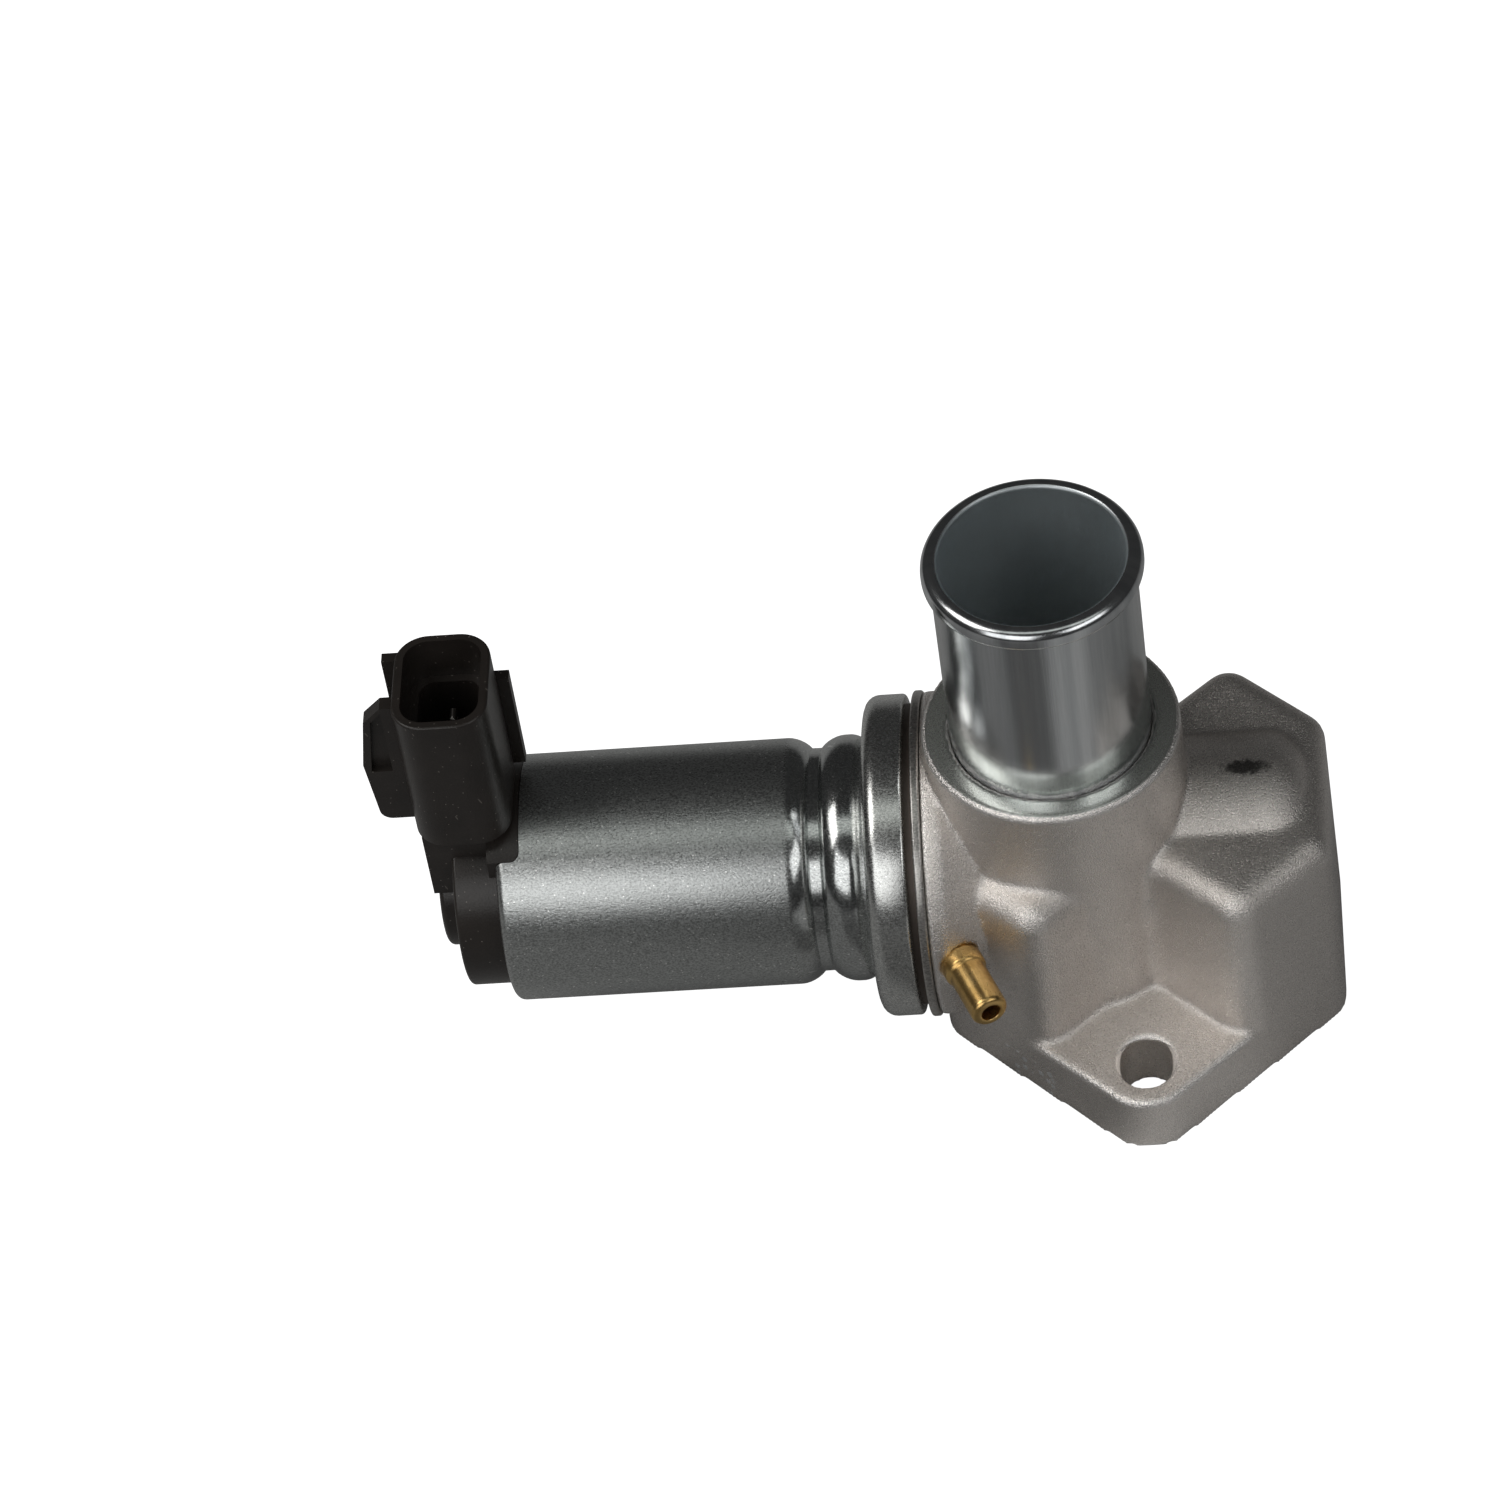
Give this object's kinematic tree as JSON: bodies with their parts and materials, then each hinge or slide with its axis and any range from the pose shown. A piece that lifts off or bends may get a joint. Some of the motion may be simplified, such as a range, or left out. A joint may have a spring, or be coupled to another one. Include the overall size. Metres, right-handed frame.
{
  "type": "idle air control valve",
  "caption": "Solenoid air valve: cast flange body with an upright hose tube, a small vacuum nipple and a plug connector on the coil can.",
  "frame": {"origin": "on the mounting face, midway between the centres of the two bolt slots", "axes": "+Z away from the engine along the hose tube; the solenoid lies along -X with its connector opening to +Z; Y runs through both bolt slots, and the vacuum nipple leaves towards -Y"},
  "size_m": [0.121, 0.0652, 0.0759],
  "materials": {
    "cast_aluminium": "sand-blasted die casting with machined faces",
    "zinc_tube": "bright zinc plating, drawn lengthwise",
    "zinc_can": "mottled zinc plating",
    "zinc_plate": "satin zinc plating",
    "magnet_steel": "turned steel",
    "nipple_brass": "turned, slightly dulled",
    "bush_bronze": "sintered",
    "copper_wire": "enamelled winding",
    "terminal_tin": "tin plated",
    "seal_rubber": "moulded",
    "cap_plastic": "glass-filled black moulding",
    "bobbin_plastic": "natural moulding",
    "seat_brass": "turned sealing lip"
  },
  "bodies": {
    "housing": {"body_casting": "cast_aluminium", "hose_tube": "zinc_tube", "vacuum_nipple": "nipple_brass", "valve_seat": "seat_brass", "clamp_plate": "zinc_plate", "face_gasket": "seal_rubber", "crimp_ring": "zinc_can", "pole_plate": "magnet_steel", "pilot_seal": "seal_rubber", "front_bush": "bush_bronze", "solenoid_can": "zinc_can", "guide_sleeve": "seat_brass", "rear_pole": "magnet_steel", "rear_washer": "magnet_steel", "coil_bobbin": "bobbin_plastic", "coil_winding": "copper_wire", "end_seal": "seal_rubber", "end_cap_connector": "cap_plastic", "terminal_pin_near": "terminal_tin", "terminal_pin_far": "terminal_tin", "return_spring": "magnet_steel"},
    "plunger": {"armature": "magnet_steel", "valve_stem": "magnet_steel", "valve_poppet": "seal_rubber", "spring_seat": "zinc_plate", "stem_clip": "zinc_plate"}
  },
  "joints": [
    {"name": "valve_stroke", "type": "slide", "parent": "housing", "child": "plunger", "axis": [-1, 0, 0], "range_m": [0, 0.0045], "stiffness_N_per_m": 800, "springref_m": -0.004, "deforming": ["return_spring"]}
  ]
}
